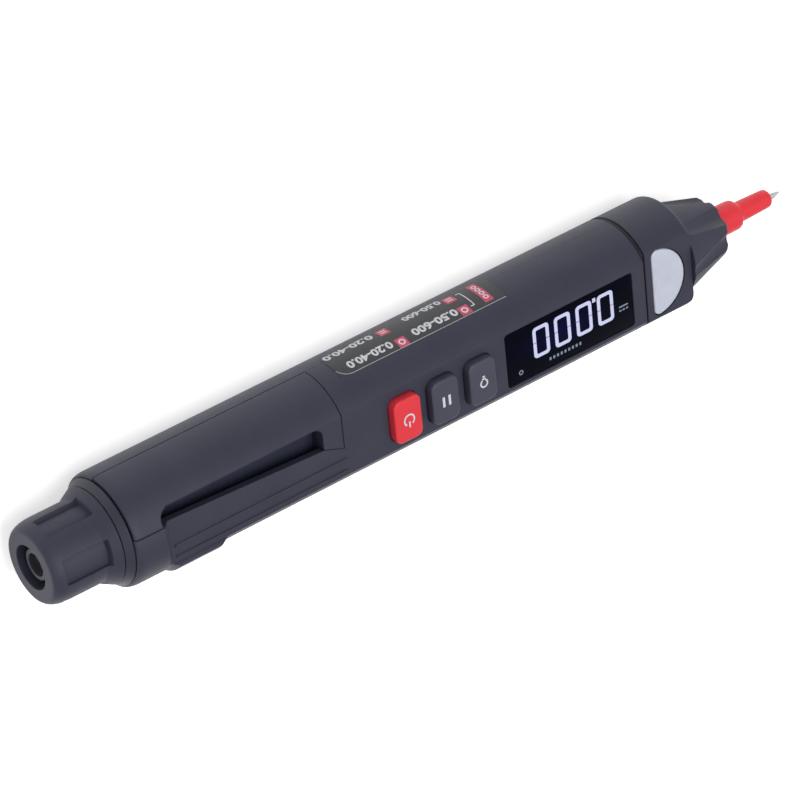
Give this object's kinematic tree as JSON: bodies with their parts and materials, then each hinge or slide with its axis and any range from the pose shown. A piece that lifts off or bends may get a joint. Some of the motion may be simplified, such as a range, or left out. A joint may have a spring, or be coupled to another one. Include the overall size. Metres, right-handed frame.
{
  "type": "pen multimeter",
  "caption": "Pen-shaped digital multimeter with a flat display face, three buttons, a lit head and a retractable needle probe.",
  "frame": {"origin": "on the pen's axis at the mouth of the contact in the rear lead socket", "axes": "+X along the pen towards the probe tip, +Y towards the side with the printed legend, +Z out of the display face"},
  "size_m": [0.1954, 0.025, 0.0239],
  "materials": {
    "case_plastic": "fine spark-eroded grain",
    "ring_plastic": "smooth",
    "dark_plastic": "smooth moulded",
    "brass": "drawn and tinned",
    "wire_sleeve": "smooth",
    "cell_can": "printed sleeve, plain",
    "spring_steel": "nickel plated",
    "screw_steel": "zinc plated",
    "board_laminate": "solder mask",
    "chip_resin": "moulded",
    "disc_lacquer": "dipped lacquer",
    "switch_metal": "pressed",
    "silicone": "moulded",
    "red_cap": "satin",
    "dark_cap": "satin",
    "light_guide": "smooth",
    "display_glass": "polished",
    "window_acrylic": "polished, dark tinted",
    "label_film": null,
    "lens_plastic": "frosted",
    "led_resin": "clear",
    "probe_plastic": "satin",
    "needle_plating": "nickel plated"
  },
  "bodies": {
    "housing": {"upper_shell": "case_plastic", "lower_shell": "case_plastic", "socket_cap": "case_plastic", "cap_ring": "ring_plastic", "socket_insulator": "dark_plastic", "socket_contact": "brass", "socket_lead": "wire_sleeve", "battery_cradle": "dark_plastic", "battery_cell_1": "cell_can", "battery_cell_2": "cell_can", "battery_springs": "spring_steel", "battery_link_plate": "spring_steel", "case_screws": "screw_steel", "main_board": "board_laminate", "meter_chip": "chip_resin", "input_thermistor": "disc_lacquer", "buzzer": "chip_resin", "key_switches": "switch_metal", "key_pad": "silicone", "backlight_panel": "light_guide", "lcd_glass": "display_glass", "elastomer_strips": "silicone", "display_window": "window_acrylic", "legend_label": "label_film", "head_gasket": "silicone", "head_shell": "case_plastic", "light_lens": "lens_plastic", "light_board": "board_laminate", "light_led": "led_resin", "sensing_antenna": "brass", "guide_tube": "dark_plastic", "probe_wiper": "brass"},
    "battery_cover": {"battery_cover": "case_plastic"},
    "power_button": {"power_button": "red_cap"},
    "hold_button": {"hold_button": "dark_cap"},
    "function_button": {"function_button": "dark_cap"},
    "collar": {"nose_collar": "case_plastic", "cam_sleeve": "switch_metal"},
    "probe": {"probe_carrier": "dark_plastic", "follower_pin": "screw_steel", "contact_ring": "brass", "probe_insulator": "probe_plastic", "probe_needle": "needle_plating"}
  },
  "joints": [
    {"name": "power_button_press", "type": "slide", "parent": "housing", "child": "power_button", "axis": [0, 0, -1], "range_m": [0, 0.0005], "stiffness_N_per_m": 2500, "springref_m": -0.0002},
    {"name": "hold_button_press", "type": "slide", "parent": "housing", "child": "hold_button", "axis": [0, 0, -1], "range_m": [0, 0.0005], "stiffness_N_per_m": 2500, "springref_m": -0.0002},
    {"name": "function_button_press", "type": "slide", "parent": "housing", "child": "function_button", "axis": [0, 0, -1], "range_m": [0, 0.0005], "stiffness_N_per_m": 2500, "springref_m": -0.0002},
    {"name": "collar_twist", "type": "hinge", "parent": "housing", "child": "collar", "pos_m": [0.1666, 0, 0], "axis": [1, 0, 0], "range_deg": [0, 180]},
    {"name": "probe_slide", "type": "slide", "parent": "housing", "child": "probe", "axis": [1, 0, 0], "range_m": [-0.0194, 0]},
    {"name": "cover_lift", "type": "slide", "parent": "housing", "child": "battery_cover", "axis": [0, 0.8, 0.6], "range_m": [0, 0.015]}
  ],
  "couplings": [
    {"joint": "collar_twist", "follows": "probe_slide", "rad_per_m": -161.93}
  ]
}
